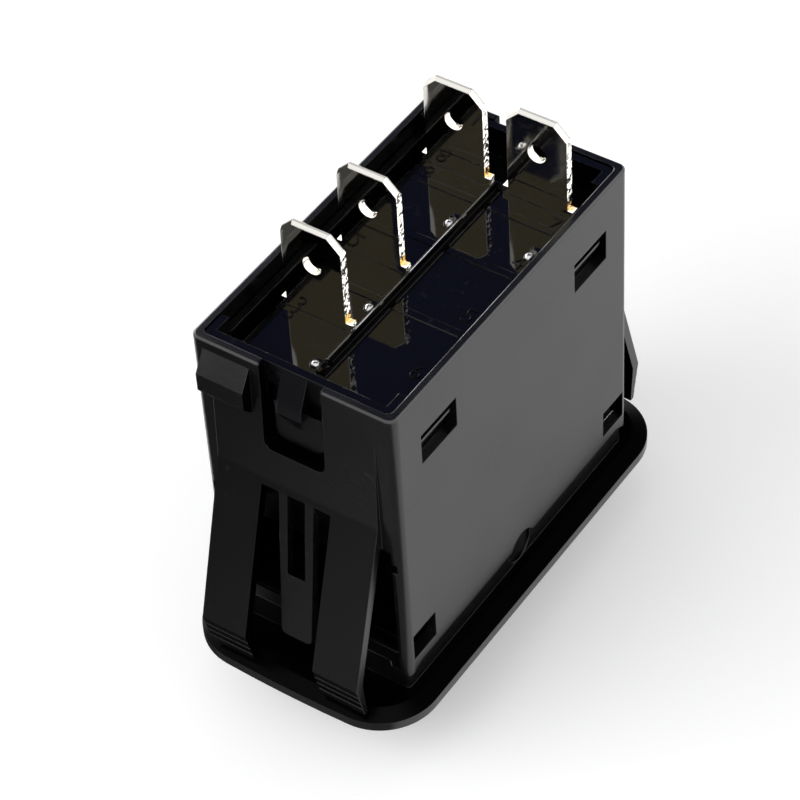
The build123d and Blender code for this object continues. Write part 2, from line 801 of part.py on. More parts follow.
for label, end in (("rocker_lens_on", -1), ("rocker_lens_off", 1)):
    with BuildPart() as lens_shape:
        with BuildSketch(lens_plane(end).offset(lens_proud)):
            RectangleRounded(lens_length, lens_width, lens_corner)
        extrude(amount=-lens_proud - lens_pipe)
    with BuildPart() as lens:
        with Locations(rocker_rest):
            add(lens_shape.part)
    lens.part.label = label
    export_step(lens.part, f"parts/{label}.step")


with BuildPart() as plunger_shape:
    with Locations((0, terminal_row, plunger_back - pivot_height)):
        Cylinder(
            plunger_radius,
            plunger_reach - plunger_back + pivot_height,
            align=(Align.CENTER, Align.CENTER, Align.MIN),
        )
    fillet(plunger_shape.edges().group_by(Axis.Z)[-1], plunger_nose)
with BuildPart() as plunger:
    with Locations(rocker_rest):
        add(plunger_shape.part)
plunger.part.label = "plunger"
export_step(plunger.part, "parts/plunger.step")


spring_bottom = spring_seat - pivot_height + spring_wire + spring_end_gap
spring_top = plunger_back - pivot_height - spring_wire - spring_end_gap
spring_pitch = (spring_top - spring_bottom) / spring_turns
with BuildPart() as spring_shape:
    with BuildLine() as coil:
        Helix(spring_pitch, spring_top - spring_bottom, spring_radius, center=(0, terminal_row, spring_bottom))
    with BuildSketch(Plane(origin=coil.line @ 0, z_dir=coil.line % 0)):
        Circle(spring_wire)
    sweep(is_frenet=True)
with BuildPart() as plunger_spring:
    with Locations(rocker_rest):
        add(spring_shape.part)
plunger_spring.part.label = "plunger_spring"
export_step(plunger_spring.part, "parts/plunger_spring.step")


# Cover that closes the contact chamber, with a slot for the stem and two lamp seats
stem_swing = (cover_bottom + cover_thickness - pivot_height) * sin(radians(rocker_tilt))
stem_half_slot = stem_swing + stem_radius / cos(radians(rocker_tilt)) + cover_slot_gap
with BuildPart() as chamber_cover:
    with BuildSketch(Plane.XY.offset(cover_bottom)):
        RectangleRounded(2 * base_half_length, 2 * base_half_width, cavity_corner)
    extrude(amount=cover_thickness)
    with BuildSketch(Plane.XY.offset(base_skirt_end)):
        Rectangle(2 * (skirt_half_length - moulding_gap), 2 * (skirt_half_width - moulding_gap))
        Rectangle(
            2 * (skirt_half_length - moulding_gap - cover_lip),
            2 * (skirt_half_width - moulding_gap - cover_lip),
            mode=Mode.SUBTRACT,
        )
    extrude(amount=cover_lip_height)
    with BuildSketch(Plane.XY.offset(cover_bottom)):
        with Locations((0, terminal_row)):
            Rectangle(2 * stem_half_slot, 2 * (stem_radius + cover_slot_gap))
        with Locations(*[(end * lamp_x, -terminal_row) for end in sides]):
            Circle(lamp_radius + lamp_gap)
    extrude(amount=cover_thickness + cover_lip_height, mode=Mode.SUBTRACT)
chamber_cover.part.label = "chamber_cover"
export_step(chamber_cover.part, "parts/chamber_cover.step")


# Lamps: one lead to the strip, the other to a resistor on the foot of a live terminal
for label, end in (("off", -1), ("on", 1)):
    strip_lead_x = end * lamp_x - lead_pitch / 2
    live_lead_x = end * lamp_x + lead_pitch / 2
    lamp_top = base_skirt_end + lamp_collar_height
    with BuildPart() as lamp:
        with Locations((end * lamp_x, -terminal_row, base_skirt_end)):
            Cylinder(lamp_radius, lamp_height, align=(Align.CENTER, Align.CENTER, Align.MAX))
        fillet(lamp.edges().group_by(Axis.Z)[0], lamp_nose)
        with Locations((end * lamp_x, -terminal_row, base_skirt_end)):
            Cylinder(
                lamp_radius + lamp_collar, lamp_collar_height, align=(Align.CENTER, Align.CENTER, Align.MIN)
            )
        with Locations((strip_lead_x, -terminal_row, lamp_top)):
            Cylinder(
                lead_radius,
                floor_bottom - strip_thickness - lamp_top,
                align=(Align.CENTER, Align.CENTER, Align.MIN),
            )
        with Locations((live_lead_x, -terminal_row, lamp_top)):
            Cylinder(lead_radius, lead_joint_height - lamp_top, align=(Align.CENTER, Align.CENTER, Align.MIN))
    lamp.part.label = f"lamp_{label}"
    export_step(lamp.part, f"parts/lamp_{label}.step")

    foot_y = terminal_row - foot_width / 2 + lead_foot_inset
    with BuildPart() as resistor:
        with BuildLine() as wire:
            FilletPolyline(
                (live_lead_x, -terminal_row, lead_joint_height),
                (live_lead_x, -terminal_row, resistor_height),
                (live_lead_x, foot_y, resistor_height),
                (live_lead_x, foot_y, foot_bottom),
                radius=lead_bend,
            )
        with BuildSketch(Plane(origin=wire.line @ 0, z_dir=wire.line % 0)):
            Circle(lead_radius)
        sweep()
        with BuildSketch(Plane.XZ.offset(-resistor_y)):
            with Locations((live_lead_x, resistor_height)):
                Circle(resistor_radius)
        extrude(amount=resistor_length / 2, both=True)
    resistor.part.label = f"resistor_{label}"
    export_step(resistor.part, f"parts/resistor_{label}.step")


# Brass strip under the floor, from the foot of terminal 7 past both lamps
strip_start = lamp_terminal_x - foot_reach_7 - blade_thickness / 2
strip_finish = -lamp_x - lead_pitch
with BuildPart() as lamp_strip:
    with Locations(((strip_start + strip_finish) / 2, -terminal_row, floor_bottom)):
        Box(
            strip_start - strip_finish,
            strip_width,
            strip_thickness,
            align=(Align.CENTER, Align.CENTER, Align.MAX),
        )
lamp_strip.part.label = "lamp_strip"
export_step(lamp_strip.part, "parts/lamp_strip.step")


with BuildPart() as base_seal:
    with BuildSketch(Plane.XY.offset(seal_bottom)):
        RectangleRounded(
            2 * (cavity_half_length - seal_gap), 2 * (cavity_half_width - seal_gap), cavity_corner
        )
        Rectangle(
            2 * (base_half_length - seal_thickness), 2 * (base_half_width - seal_thickness), mode=Mode.SUBTRACT
        )
    extrude(amount=seal_height)
base_seal.part.label = "base_seal"
export_step(base_seal.part, "parts/base_seal.step")
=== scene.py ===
from math import cos, pi, radians, sin

import bmesh
import bpy
from bpy.props import FloatProperty, FloatVectorProperty, PointerProperty
from mathutils import Matrix, Vector


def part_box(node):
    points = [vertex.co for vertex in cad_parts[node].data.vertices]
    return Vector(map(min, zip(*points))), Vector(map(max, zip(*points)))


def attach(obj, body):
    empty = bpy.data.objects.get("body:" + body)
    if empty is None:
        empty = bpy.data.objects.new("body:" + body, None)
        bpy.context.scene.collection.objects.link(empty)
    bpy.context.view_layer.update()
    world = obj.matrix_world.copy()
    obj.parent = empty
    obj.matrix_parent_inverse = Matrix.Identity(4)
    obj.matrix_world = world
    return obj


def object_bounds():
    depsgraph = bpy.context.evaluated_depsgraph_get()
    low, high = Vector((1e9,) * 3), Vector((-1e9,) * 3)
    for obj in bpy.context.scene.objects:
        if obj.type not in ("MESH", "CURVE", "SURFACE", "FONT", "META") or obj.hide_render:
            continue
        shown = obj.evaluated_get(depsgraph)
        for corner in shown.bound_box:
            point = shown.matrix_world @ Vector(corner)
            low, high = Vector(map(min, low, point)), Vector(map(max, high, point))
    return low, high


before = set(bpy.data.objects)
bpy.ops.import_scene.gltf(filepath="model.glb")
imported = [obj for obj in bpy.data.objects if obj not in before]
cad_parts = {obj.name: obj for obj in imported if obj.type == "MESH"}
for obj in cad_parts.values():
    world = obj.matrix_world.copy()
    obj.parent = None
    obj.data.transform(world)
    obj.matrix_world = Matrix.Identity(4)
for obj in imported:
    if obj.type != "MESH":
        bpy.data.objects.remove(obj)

bl_info = {
    "name": "Dashboard switch",
    "version": (1, 0, 0),
    "blender": (4, 5, 0),
    "location": "View3D > Sidebar > Switch",
    "description": "Finishes, moulded numerals and a studio for a dashboard rocker switch",
    "category": "Object",
}

MM = 0.001
CAD_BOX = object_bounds()
FLOOR_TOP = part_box("terminal_3")[1].z - 10.3 * MM
BLADES = ("terminal_3", "terminal_2", "terminal_8", "terminal_7")
BLADE_ROW = 4.4 * MM
BLADE_HALF = 3.15 * MM
BLADE_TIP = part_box("terminal_3")[1].z

# Pips and numerals on the floor of the base, as X and Y in millimetres
PIPS = ((-13.8, 1.1), (-5.6, 1.1), (7.1, 1.1), (7.1, -7.4))
PIP_RADIUS = 0.53 * MM
PIP_SINK = 0.1 * MM
NUMERALS = {
    "8": (11.8, 6.6), "1": (6.0, 6.7), "2": (-1.9, 7.0), "3": (-9.6, 6.6),
    "7": (11.8, -7.0), "4": (5.9, -7.0), "5": (-2.0, -6.9), "6": (-10.1, -6.9),
}

# Gloss of the sleeve, black of painted shade on the plastic, and painted light and shade on the blades' tips
SATIN = 0.24
SHADE_BLACK = (0.0006, 0.0006, 0.0006, 1.0)
TIP_SLOPE_PAINTED = (0.40, 0.39, 0.365, 1.0)
TIP_TOP_PAINTED = (0.27, 0.265, 0.25, 1.0)
TIP_EDGE_PAINTED = (0.12, 0.12, 0.115, 1.0)

# Where a finish or a painted shade changes, as the start and the end of each ramp
FACING_IN = (-0.0015, -0.0025)
FACING_OUT = (0.006, 0.008)
BEZEL_BACK = (0.4 * MM, 0.1 * MM)
NOTCH_HALF = (3.4 * MM, 3.3 * MM)
RIB_NEAR = (-0.7 * MM, -0.6 * MM)
RIB_FAR = (0.1 * MM, 0.0)
RIB_RISE = (FLOOR_TOP + 0.04 * MM, FLOOR_TOP + 0.1 * MM)
RIB_END = (14.9 * MM, 14.7 * MM)
ROCKER_REAR = (-4.0 * MM, -3.5 * MM)
BARE_BRASS_LOW = (FLOOR_TOP + 0.7 * MM, FLOOR_TOP + 0.8 * MM)
BARE_BRASS_HIGH = (FLOOR_TOP + 1.9 * MM, FLOOR_TOP + 1.4 * MM)
ROLL_WIDTH = 0.8 * MM
ROLL_FADE = (BLADE_TIP - 6.0 * MM, BLADE_TIP - 1.0 * MM)
CREST = (BLADE_TIP - 2.0 * MM, BLADE_TIP - 1.8 * MM)

# A light window is tinted up to its skin with painted black shade above; a lamp's shade limit lies beyond its top
LENS_SKIN = 1.3 * MM
LENS_BLEND = 0.4 * MM
BEYOND = 1.0

# How far a blade's normal leans over its rolled edge, on its upward faces and on its bevels
ROLL_LEAN = 0.3
UPWARD_LEAN = -0.6
BEVEL_LEAN = -0.2

# Stage: gaps under the switch, and the glow of the cards that only reflections see
FLOOR_GAP = 0.1 * MM
MAT_GAP = 0.05 * MM
FLAG_GLOW = (0.055, 0.062, 0.14)
CARD_GLOW = (0.42, 0.37, 0.24)
RAMP_GLOW = (0.21, 0.21, 0.21)
RAMP_SHADE = (0.05, 0.05, 0.05)
RAMP_SPAN = (3.0 * MM, 28.0 * MM)
SIDE_GLOW = (10.0, 10.0, 10.0)


# Node helpers

def add_node(tree, kind, inputs=None, **settings):
    """A node with its settings and inputs; an input that is a socket is linked, and any other is a value."""
    made = tree.nodes.new(kind)
    for name, value in settings.items():
        setattr(made, name, value)
    for name, value in (inputs or {}).items():
        if isinstance(value, bpy.types.NodeSocket):
            tree.links.new(value, made.inputs[name])
        else:
            made.inputs[name].default_value = value
    return made


def ramp_node(tree, value, start, finish):
    """A mask that is 0 up to the start and 1 from the finish on."""
    return add_node(tree, "ShaderNodeMapRange", {"Value": value, "From Min": start, "From Max": finish}).outputs[0]


def both(tree, first, second, operation="MULTIPLY"):
    """Two sockets or values joined by one math node, such as two masks multiplied."""
    return add_node(tree, "ShaderNodeMath", {0: first, 1: second}, operation=operation).outputs[0]


def mix_colour(tree, factor, first, second):
    """A colour mix of two sockets or colours."""
    made = tree.nodes.new("ShaderNodeMix")
    made.data_type = "RGBA"
    for index, value in ((0, factor), (6, first), (7, second)):
        if isinstance(value, bpy.types.NodeSocket):
            tree.links.new(value, made.inputs[index])
        else:
            made.inputs[index].default_value = value
    return made.outputs[2]


def new_group(name, inputs, outputs):
    """An empty shader group with its sockets, and its input and output nodes."""
    group = bpy.data.node_groups.new(name, "ShaderNodeTree")
    for label, default in inputs.items():
        socket = group.interface.new_socket(label, in_out="INPUT", socket_type="NodeSocketFloat")
        socket.default_value = default
    for label, kind in outputs.items():
        group.interface.new_socket(label, in_out="OUTPUT", socket_type=kind)
    return group, group.nodes.new("NodeGroupInput"), group.nodes.new("NodeGroupOutput")


def rounded_edge_group():
    """The normal of an edge that is rounded a little, and a mask of where that edge is."""
    group, start, end = new_group(
        "Rounded edge",
        {"Radius": 0.0001, "Gain": 6.0},
        {"Normal": "NodeSocketVector", "Mask": "NodeSocketFloat"},
    )
    bevel = add_node(group, "ShaderNodeBevel", {"Radius": start.outputs["Radius"]}, samples=6)
    geometry = group.nodes.new("ShaderNodeNewGeometry")
    dot = add_node(group, "ShaderNodeVectorMath", operation="DOT_PRODUCT")
    group.links.new(bevel.outputs["Normal"], dot.inputs[0])
    group.links.new(geometry.outputs["Normal"], dot.inputs[1])
    away = add_node(group, "ShaderNodeMath", {0: 1.0, 1: dot.outputs["Value"]}, operation="SUBTRACT")
    gained = add_node(
        group, "ShaderNodeMath", {0: away.outputs[0], 1: start.outputs["Gain"]}, operation="MULTIPLY",
        use_clamp=True,
    )
    group.links.new(bevel.outputs["Normal"], end.inputs["Normal"])
    group.links.new(gained.outputs[0], end.inputs["Mask"])
    return group


def moulded_group(rounded):
    """Surface of a moulding: rounded edges, fine grain, uneven gloss, and a thin film of dust."""
    group, start, end = new_group(
        "Moulded surface",
        {"Edge Radius": 0.0001, "Grain Scale": 2600.0, "Grain Depth": 0.000004, "Roughness": 0.25,
         "Roughness Spread": 0.05, "Dust": 0.3},
        {"Roughness": "NodeSocketFloat", "Normal": "NodeSocketVector", "Edge": "NodeSocketFloat",
         "Dust": "NodeSocketFloat"},
    )
    place = group.nodes.new("ShaderNodeTexCoord").outputs["Object"]
    edge = add_node(group, "ShaderNodeGroup", node_tree=rounded)
    group.links.new(start.outputs["Edge Radius"], edge.inputs["Radius"])
    grain = add_node(
        group, "ShaderNodeTexNoise", {"Vector": place, "Scale": start.outputs["Grain Scale"], "Detail": 2.0}
    )
    bump = add_node(
        group,
        "ShaderNodeBump",
        {"Strength": 1.0, "Distance": start.outputs["Grain Depth"], "Height": grain.outputs["Fac"],
         "Normal": edge.outputs["Normal"]},
    )
    flow = add_node(group, "ShaderNodeTexNoise", {"Vector": place, "Scale": 110.0, "Detail": 4.0})
    low = both(group, start.outputs["Roughness"], start.outputs["Roughness Spread"], "SUBTRACT")
    high = both(group, start.outputs["Roughness"], start.outputs["Roughness Spread"], "ADD")
    gloss = add_node(
        group,
        "ShaderNodeMapRange",
        {"Value": flow.outputs["Fac"], "From Min": 0.3, "From Max": 0.7, "To Min": low, "To Max": high},
    )
    specks = add_node(group, "ShaderNodeTexNoise", {"Vector": place, "Scale": 1400.0, "Detail": 1.0})
    patches = add_node(group, "ShaderNodeTexNoise", {"Vector": place, "Scale": 160.0, "Detail": 3.0})
    specked = ramp_node(group, specks.outputs["Fac"], 0.68, 0.74)
    patched = ramp_node(group, patches.outputs["Fac"], 0.45, 0.65)
    dust = both(group, both(group, specked, patched), start.outputs["Dust"])
    group.links.new(gloss.outputs[0], end.inputs["Roughness"])
    group.links.new(bump.outputs["Normal"], end.inputs["Normal"])
    group.links.new(edge.outputs["Mask"], end.inputs["Edge"])
    group.links.new(dust, end.inputs["Dust"])
    return group


def shared_groups():
    """The groups that several materials use, built once."""
    if "Rounded edge" not in bpy.data.node_groups:
        moulded_group(rounded_edge_group())
    return bpy.data.node_groups["Rounded edge"], bpy.data.node_groups["Moulded surface"]


# Finishes

def blank_material(name):
    """A material with only its Principled shader and output."""
    material = bpy.data.materials.new(name)
    material.use_nodes = True
    tree = material.node_tree
    tree.nodes.clear()
    shader = tree.nodes.new("ShaderNodeBsdfPrincipled")
    output = tree.nodes.new("ShaderNodeOutputMaterial")
    tree.links.new(shader.outputs["BSDF"], output.inputs["Surface"])
    return material, tree, shader


def rgba(colour):
    return (*colour, 1.0)


def moulded_plastic(name, colour, roughness, spread=0.04, grain=0.000004, grain_scale=2600.0, edge=0.0001,
                    edge_colour=None, dust=0.03, specular=0.5):
    """Moulded plastic with its grain, rounded edges that catch light, and a few dust specks."""
    material, tree, shader = blank_material(name)
    group = add_node(tree, "ShaderNodeGroup", node_tree=shared_groups()[1])
    for label, value in (("Edge Radius", edge), ("Grain Scale", grain_scale), ("Grain Depth", grain),
                         ("Roughness", roughness), ("Roughness Spread", spread), ("Dust", dust)):
        group.inputs[label].default_value = value
    worn = mix_colour(tree, group.outputs["Edge"], rgba(colour), rgba(edge_colour or colour))
    dusty = mix_colour(tree, group.outputs["Dust"], worn, (0.32, 0.31, 0.29, 1.0))
    tree.links.new(dusty, shader.inputs["Base Color"])
    tree.links.new(group.outputs["Roughness"], shader.inputs["Roughness"])
    tree.links.new(group.outputs["Normal"], shader.inputs["Normal"])
    shader.inputs["Specular IOR Level"].default_value = specular
    return material


def paint_shade(tree, mask):
    """Paints shade on a material where the mask is 1: takes its gloss off and darkens it."""
    shader = tree.nodes["Principled BSDF"]
    level = add_node(tree, "ShaderNodeMapRange", {"Value": mask, "To Min": 0.5, "To Max": 0.03})
    tree.links.new(level.outputs[0], shader.inputs["Specular IOR Level"])
    colour = shader.inputs["Base Color"].links[0].from_socket
    tree.links.new(mix_colour(tree, mask, colour, SHADE_BLACK), shader.inputs["Base Color"])


def facing_outwards(tree, place, normal):
    """Positive on the faces that look away from the upright line through the origin, negative towards it."""
    level = add_node(tree, "ShaderNodeVectorMath", {0: place, 1: (1.0, 1.0, 0.0)}, operation="MULTIPLY")
    outwards = add_node(tree, "ShaderNodeVectorMath", {0: level.outputs[0], 1: normal}, operation="DOT_PRODUCT")
    return outwards.outputs["Value"]


def paint_housing_shade(material):
    """Paints shade, dull and dark, on the housing's inner faces, its ramps and the bezel's back, in the object's
    own shade.
    """
    tree = material.node_tree
    place = tree.nodes.new("ShaderNodeTexCoord").outputs["Object"]
    normal = tree.nodes.new("ShaderNodeNewGeometry").outputs["Normal"]
    point = add_node(tree, "ShaderNodeSeparateXYZ", {"Vector": place})
    facing = add_node(tree, "ShaderNodeSeparateXYZ", {"Vector": normal})
    # Painted shade on the bezel's back, faces that lean down, the notch's sill and faces that look inwards
    back = ramp_node(tree, point.outputs["Z"], *BEZEL_BACK)
    bezel = both(tree, back, ramp_node(tree, facing.outputs["Z"], 0.7, 0.9))
    leaning = ramp_node(tree, facing.outputs["Z"], -0.1, -0.25)
    across = add_node(tree, "ShaderNodeMath", {0: point.outputs["Y"]}, operation="ABSOLUTE").outputs[0]
    sill = both(tree, ramp_node(tree, across, *NOTCH_HALF), ramp_node(tree, facing.outputs["Z"], 0.6, 0.8))
    inwards = ramp_node(tree, facing_outwards(tree, place, normal), *FACING_IN)
    inner = both(tree, inwards, sill, "MAXIMUM")
    paint_shade(tree, both(tree, both(tree, bezel, leaning, "MAXIMUM"), inner, "MAXIMUM"))


def paint_base_shade_and_satin(material):
    """Paints dull, dark shade on the base's inward faces and one rib side, and gives outward faces the sleeve's
    satin.
    """
    tree = material.node_tree
    place = tree.nodes.new("ShaderNodeTexCoord").outputs["Object"]
    normal = tree.nodes.new("ShaderNodeNewGeometry").outputs["Normal"]
    point = add_node(tree, "ShaderNodeSeparateXYZ", {"Vector": place})
    # Painted shade on one side of the rib, and below on the inward faces
    rib = both(tree, ramp_node(tree, point.outputs["Y"], *RIB_NEAR), ramp_node(tree, point.outputs["Y"], *RIB_FAR))
    rib = both(tree, rib, ramp_node(tree, point.outputs["Z"], *RIB_RISE))
    along = add_node(tree, "ShaderNodeMath", {0: point.outputs["X"]}, operation="ABSOLUTE").outputs[0]
    rib = both(tree, rib, ramp_node(tree, along, *RIB_END))
    outwards = facing_outwards(tree, place, normal)
    paint_shade(tree, both(tree, ramp_node(tree, outwards, *FACING_IN), rib, "MAXIMUM"))
    satin = both(tree, ramp_node(tree, outwards, *FACING_OUT), SATIN)
    shader = tree.nodes["Principled BSDF"]
    gloss = shader.inputs["Roughness"].links[0].from_socket
    tree.links.new(both(tree, gloss, satin, "MAXIMUM"), shader.inputs["Roughness"])


def paint_rocker_rear_shade(material):
    """Paints dull, dark shade on the rocker's rear, which only shows through the slots."""
    tree = material.node_tree
    normal = tree.nodes.new("ShaderNodeNewGeometry").outputs["Normal"]
    place = tree.nodes.new("ShaderNodeTexCoord").outputs["Object"]
    facing = add_node(tree, "ShaderNodeSeparateXYZ", {"Vector": normal})
    height = add_node(tree, "ShaderNodeSeparateXYZ", {"Vector": place})
    upward = ramp_node(tree, facing.outputs["Z"], -0.2, 0.1)
    paint_shade(tree, both(tree, upward, ramp_node(tree, height.outputs["Z"], *ROCKER_REAR)))


def give(nodes, material):
    """Puts one material on CAD nodes."""
    for name in nodes:
        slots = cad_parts[name].data.materials
        slots.clear()
        slots.append(material)


class SwitchFinish(bpy.types.PropertyGroup):
    """Colours and gloss of the mouldings and the metal."""

    housing_colour: FloatVectorProperty(
        name="Housing", description="Colour of the black sleeve and bezel", subtype="COLOR", size=3,
        default=(0.004, 0.004, 0.0042), min=0, max=1,
    )
    housing_roughness: FloatProperty(
        name="Housing roughness", description="Gloss of the sleeve; 0 is a mirror", default=SATIN, min=0, max=1
    )
    base_colour: FloatVectorProperty(
        name="Base", description="Colour of the polished terminal base", subtype="COLOR", size=3,
        default=(0.002, 0.0022, 0.003), min=0, max=1,
    )
    base_roughness: FloatProperty(
        name="Base roughness", description="Gloss of the terminal base", default=0.03, min=0, max=1
    )
    plating_colour: FloatVectorProperty(
        name="Plating", description="Colour of the tin plating on the blades", subtype="COLOR", size=3,
        default=(0.90, 0.87, 0.80), min=0, max=1,
    )
    brass_colour: FloatVectorProperty(
        name="Brass", description="Colour of bare brass", subtype="COLOR", size=3, default=(0.85, 0.50, 0.12),
        min=0, max=1,
    )


class SwitchNumerals(bpy.types.PropertyGroup):
    """Sizes of the numerals on the floor."""

    height: FloatProperty(
        name="Height", description="Height of a numeral", default=0.00185, unit="LENGTH", min=0.0005
    )
    relief: FloatProperty(
        name="Relief", description="Height of a numeral above the floor", default=0.0001, unit="LENGTH", min=0
    )
    rounding: FloatProperty(
        name="Rounding", description="Rounding of a stroke's edges", default=0.00005, unit="LENGTH", min=0
    )
    thinning: FloatProperty(
        name="Thinning", description="How far a stroke's outline is drawn in", default=0.00008, unit="LENGTH",
        min=0,
    )


class SwitchStage(bpy.types.PropertyGroup):
    """Camera, floor and lights."""

    azimuth: FloatProperty(
        name="Azimuth", description="Camera's turn round the switch", default=radians(-53.338), subtype="ANGLE"
    )
    elevation: FloatProperty(
        name="Elevation", description="Camera's height angle", default=radians(45.383), subtype="ANGLE"
    )
    roll: FloatProperty(name="Roll", description="Camera's roll", default=radians(-3.855), subtype="ANGLE")
    distance: FloatProperty(
        name="Distance", description="Camera to its aim point", default=0.28091, unit="LENGTH", min=0.05
    )
    aim: FloatVectorProperty(
        name="Aim", description="Point that the camera looks at", default=(-0.005581, -0.001563, 0.021669),
        subtype="XYZ", unit="LENGTH", size=3,
    )
    lens: FloatProperty(
        name="Lens", description="Focal length on a 36 mm wide sensor", default=141.826,
        subtype="DISTANCE_CAMERA",
    )
    floor_colour: FloatVectorProperty(
        name="Floor", description="Colour of the studio floor", subtype="COLOR", size=3, default=(0.9, 0.9, 0.9),
        min=0, max=1,
    )
    key_power: FloatProperty(
        name="Key light", description="Power of the soft key light", default=2.2, subtype="POWER"
    )
    fill_power: FloatProperty(name="Fill light", description="Power of the low fill", default=0.8, subtype="POWER")


class SWITCH_OT_mouldings(bpy.types.Operator):
    """Gives the moulded plastic pieces their finish"""

    bl_idname = "switch.mouldings"
    bl_label = "Mouldings"

    def execute(self, context):
        finish = context.scene.switch_finish
        housing = moulded_plastic(
            "Housing plastic", finish.housing_colour, finish.housing_roughness, edge=0.00012,
            edge_colour=(0.008, 0.008, 0.0085),
        )
        # Painted shade on the housing's inner faces, ramps and bezel back
        paint_housing_shade(housing)
        give(["housing"], housing)
        base = moulded_plastic(
            "Base plastic", finish.base_colour, finish.base_roughness, spread=0.01, grain=0.0000003, edge=0.00008
        )
        # Painted shade on the base's inward faces and one rib side, satin outside
        paint_base_shade_and_satin(base)
        give(["terminal_base"], base)
        rocker = moulded_plastic(
            "Rocker plastic", (0.006, 0.006, 0.0065), 0.38, grain=0.00001, grain_scale=3600.0, edge=0.0003
        )
        # Painted shade on the rocker's rear
        paint_rocker_rear_shade(rocker)
        give(["rocker_button"], rocker)
        give(["chamber_cover"], moulded_plastic("Cover plastic", (0.008, 0.008, 0.0085), 0.45, edge=0.00015))
        give(["plunger"], moulded_plastic("Plunger plastic", (0.72, 0.70, 0.62), 0.3, edge=0.00005, dust=0.1))
        give(["base_seal"], moulded_plastic("Seal rubber", (0.02, 0.02, 0.02), 0.7, grain=0.00001, edge=0.00005))
        return {"FINISHED"}


def rolled_edge(tree, place, facing, normal, cut, tear):
    """A blade's normal, leaning at its rolled edge, bevels and torn specks, and masks of roll and crest."""
    row = add_node(tree, "ShaderNodeMath", {0: place.outputs["Y"]}, operation="SIGN")
    across = both(tree, place.outputs["Y"], both(tree, row.outputs[0], BLADE_ROW), "SUBTRACT")
    near = add_node(
        tree, "ShaderNodeMapRange",
        {"Value": across, "From Min": BLADE_HALF - ROLL_WIDTH, "From Max": BLADE_HALF, "To Max": ROLL_LEAN},
        interpolation_type="SMOOTHSTEP",
    )
    broad = add_node(tree, "ShaderNodeMath", {0: facing.outputs["X"]}, operation="ABSOLUTE").outputs[0]
    flat = ramp_node(tree, broad, 0.9, 0.98)
    tilt = both(tree, near.outputs[0], both(tree, flat, ramp_node(tree, place.outputs["Z"], *ROLL_FADE)))
    speck = ramp_node(tree, tear, 0.42, 0.58)
    upward = both(tree, ramp_node(tree, facing.outputs["Z"], 0.2, 0.4), ramp_node(tree, broad, 0.4, 0.3))
    bevel = both(tree, ramp_node(tree, facing.outputs["Z"], 0.5, 0.6), ramp_node(tree, broad, 0.5, 0.6))
    lift = add_node(
        tree, "ShaderNodeMath", {0: bevel, 1: BEVEL_LEAN, 2: both(tree, cut, speck)}, operation="MULTIPLY_ADD"
    )
    outwards = add_node(
        tree, "ShaderNodeCombineXYZ", {"X": both(tree, upward, UPWARD_LEAN), "Y": tilt, "Z": lift.outputs[0]}
    )
    leaning = add_node(tree, "ShaderNodeVectorMath", {0: normal, 1: outwards.outputs[0]}, operation="ADD")
    turned = add_node(tree, "ShaderNodeVectorMath", {0: leaning.outputs[0]}, operation="NORMALIZE")
    crest = both(tree, both(tree, upward, bevel, "MAXIMUM"), ramp_node(tree, place.outputs["Z"], *CREST))
    return turned.outputs[0], tilt, crest


